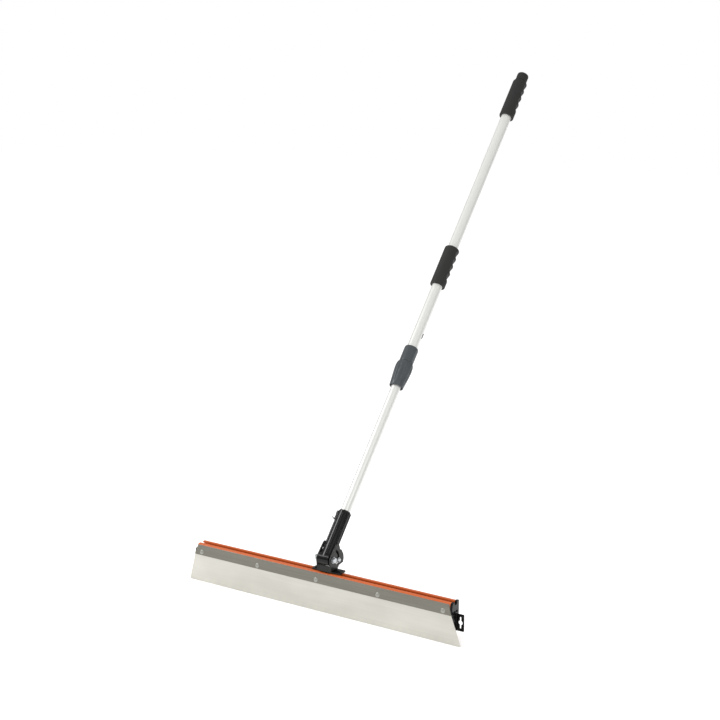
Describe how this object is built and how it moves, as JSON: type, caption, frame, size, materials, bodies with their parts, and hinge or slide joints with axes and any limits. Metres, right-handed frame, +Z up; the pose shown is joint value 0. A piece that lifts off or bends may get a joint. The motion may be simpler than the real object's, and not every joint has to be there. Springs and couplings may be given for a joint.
{
  "type": "roof snow rake",
  "caption": "Wide thin steel blade in a slotted rail, with a sliding tilting bracket and a two-stage twist-lock pole with finger-grooved grips.",
  "frame": {"origin": "middle of the blade's straight working edge, where it rests on the surface", "axes": "+X along the blade towards the end with the hanging tab, +Y backward to the side the pole leans to, +Z up, square to the surface being worked"},
  "size_m": [0.7978, 1.0558, 1.2818],
  "materials": {
    "blade": "satin cold-rolled stainless sheet",
    "clamp_strip": "mill finish with fine lengthwise lines",
    "blade_rivets": "bright rivet",
    "rail": "orange powder coat on an aluminium extrusion",
    "end_cap_left": "moulded black",
    "end_cap_right": "moulded black",
    "end_cap_screws": "blackened screw",
    "slide_plate": "black powder coat",
    "slide_t_nut": "zinc plated bar",
    "slide_screws": "blackened screw",
    "bracket_fork": "black powder coat on bent steel",
    "pivot_bolt": "zinc plated",
    "pivot_nut": "zinc plated",
    "pivot_washers": "zinc plated",
    "pivot_spacers": "zinc plated",
    "pole_socket": "moulded glass-filled nylon",
    "lock_bolt": "zinc plated",
    "lock_nut": "zinc plated",
    "lock_washers": "zinc plated",
    "socket_latch": "moulded black",
    "latch_pin": "drawn steel",
    "latch_spring": "spring wire",
    "inner_tube": "satin anodised",
    "tube_plug": "moulded black",
    "guide_bush": "natural acetal",
    "twist_nut": "moulded charcoal grey",
    "wiper_ring": "black rubber",
    "collar_sleeve": "moulded charcoal grey",
    "collet": "natural acetal",
    "outer_tube": "satin anodised",
    "hole_plug": "moulded black",
    "mid_grip": "black elastomer",
    "top_grip": "black elastomer",
    "end_plug": "black elastomer"
  },
  "bodies": {
    "head": {"blade": "blade", "clamp_strip": "clamp_strip", "blade_rivets": "blade_rivets", "rail": "rail", "end_cap_left": "end_cap_left", "end_cap_right": "end_cap_right", "end_cap_screws": "end_cap_screws"},
    "carriage": {"slide_plate": "slide_plate", "slide_t_nut": "slide_t_nut", "slide_screws": "slide_screws", "bracket_fork": "bracket_fork", "pivot_bolt": "pivot_bolt", "pivot_nut": "pivot_nut", "pivot_washers": "pivot_washers", "pivot_spacers": "pivot_spacers"},
    "lower_pole": {"pole_socket": "pole_socket", "lock_bolt": "lock_bolt", "lock_nut": "lock_nut", "lock_washers": "lock_washers", "latch_pin": "latch_pin", "inner_tube": "inner_tube", "tube_plug": "tube_plug", "guide_bush": "guide_bush"},
    "latch": {"socket_latch": "socket_latch", "latch_spring": "latch_spring"},
    "upper_pole": {"outer_tube": "outer_tube", "collar_sleeve": "collar_sleeve", "collet": "collet", "hole_plug": "hole_plug", "mid_grip": "mid_grip", "top_grip": "top_grip", "end_plug": "end_plug"},
    "lock_ring": {"twist_nut": "twist_nut", "wiper_ring": "wiper_ring"}
  },
  "joints": [
    {"name": "bracket_slide", "type": "slide", "parent": "head", "child": "carriage", "axis": [1, 0, 0], "range_m": [-0.354, 0.309]},
    {"name": "pole_tilt", "type": "hinge", "parent": "carriage", "child": "lower_pole", "pos_m": [0.02, 0.01, 0.13657], "axis": [1, 0, 0], "range_deg": [-22, 67]},
    {"name": "pole_telescope", "type": "slide", "parent": "lower_pole", "child": "upper_pole", "axis": [0, 0.6704, 0.742], "range_m": [-0.355, 0.34]},
    {"name": "lock_ring_turn", "type": "hinge", "parent": "upper_pole", "child": "lock_ring", "pos_m": [0.02, 0.3613, 0.52536], "axis": [0, 0.6704, 0.742], "range_deg": [-20, 180]},
    {"name": "latch_press", "type": "hinge", "parent": "lower_pole", "child": "latch", "pos_m": [0.0018, 0.09112, 0.22635], "axis": [0, 0.742, -0.6704], "range_deg": [0, 12], "stiffness_Nm_per_rad": 0.04, "springref_deg": -20.05}
  ]
}
